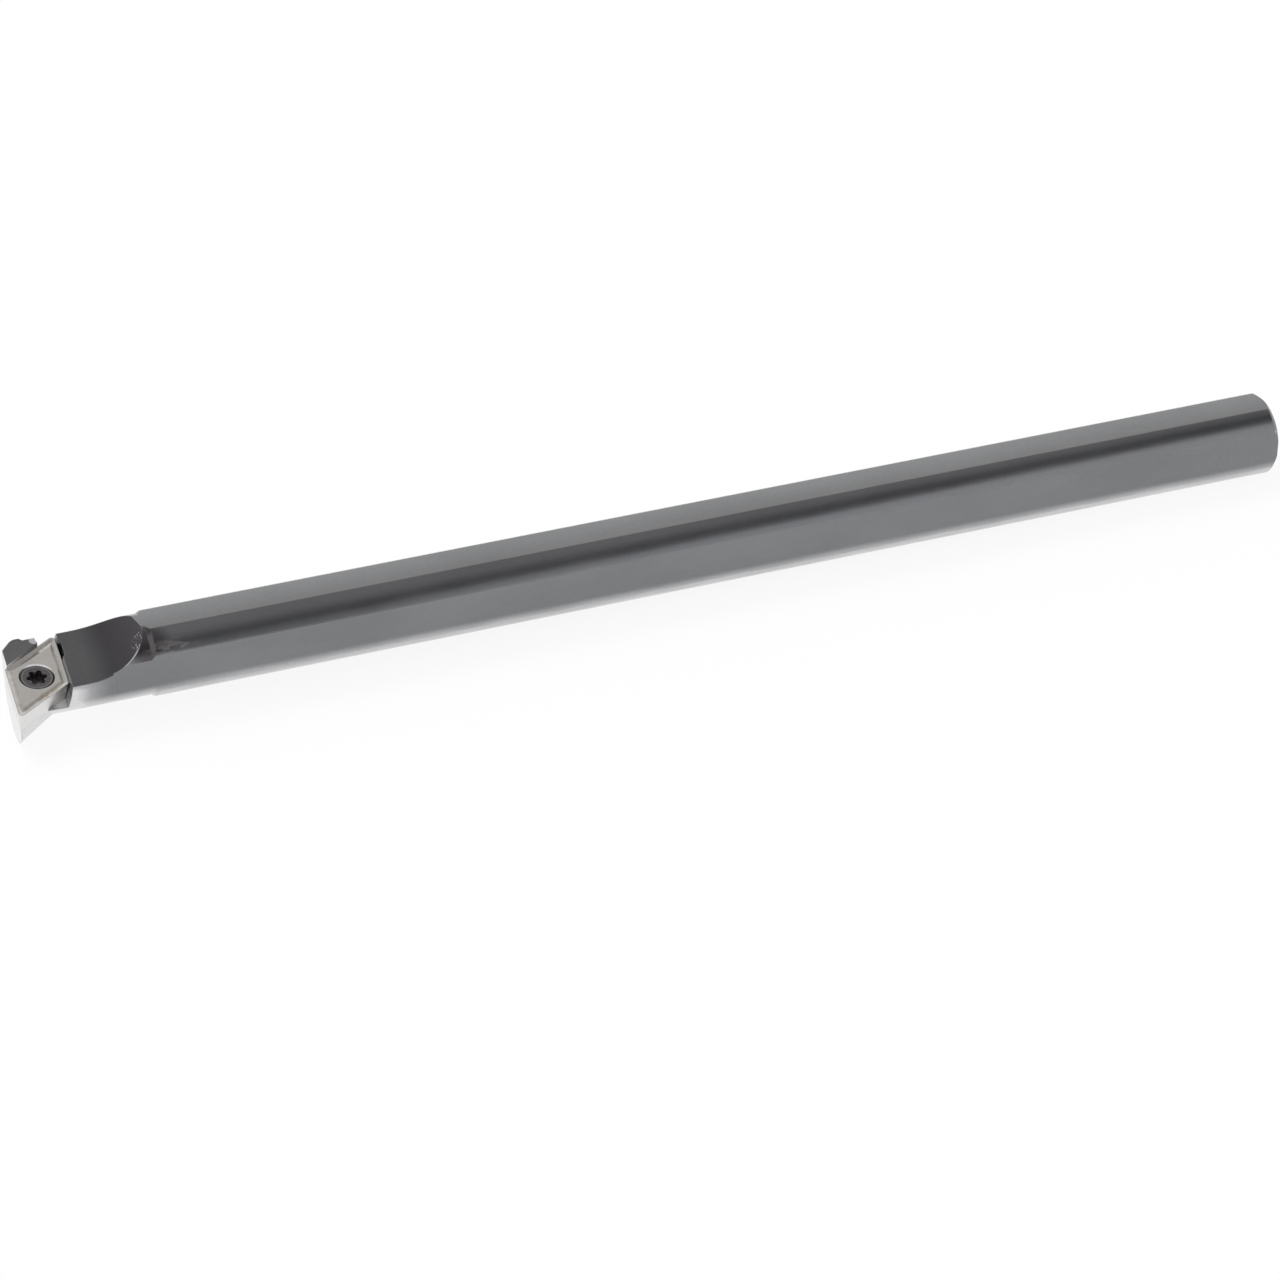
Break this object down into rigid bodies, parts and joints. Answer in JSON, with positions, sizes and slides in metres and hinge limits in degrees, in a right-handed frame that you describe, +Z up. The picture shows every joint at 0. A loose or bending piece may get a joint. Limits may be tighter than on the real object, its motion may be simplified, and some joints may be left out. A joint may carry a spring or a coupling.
{
  "type": "boring bar",
  "caption": "Slim round-shank boring bar with lengthwise flats and a screwed-on rhombic insert in an open pocket at its cutting end.",
  "frame": {"origin": "centre of the shank's rear end face", "axes": "+X along the shank out of the rear end face, so the cutting head is at -X; +Z up, the side the insert's rake face looks to; the cutting nose points to -Y"},
  "size_m": [0.1524, 0.0117, 0.0105],
  "materials": {
    "bar_steel": "satin black oxide on steel",
    "insert_carbide": "ground and moulded uncoated carbide",
    "screw_steel": "black oxide"
  },
  "bodies": {
    "root": {"bar": "bar_steel", "insert": "insert_carbide", "clamp_screw": "screw_steel"}
  },
  "joints": []
}
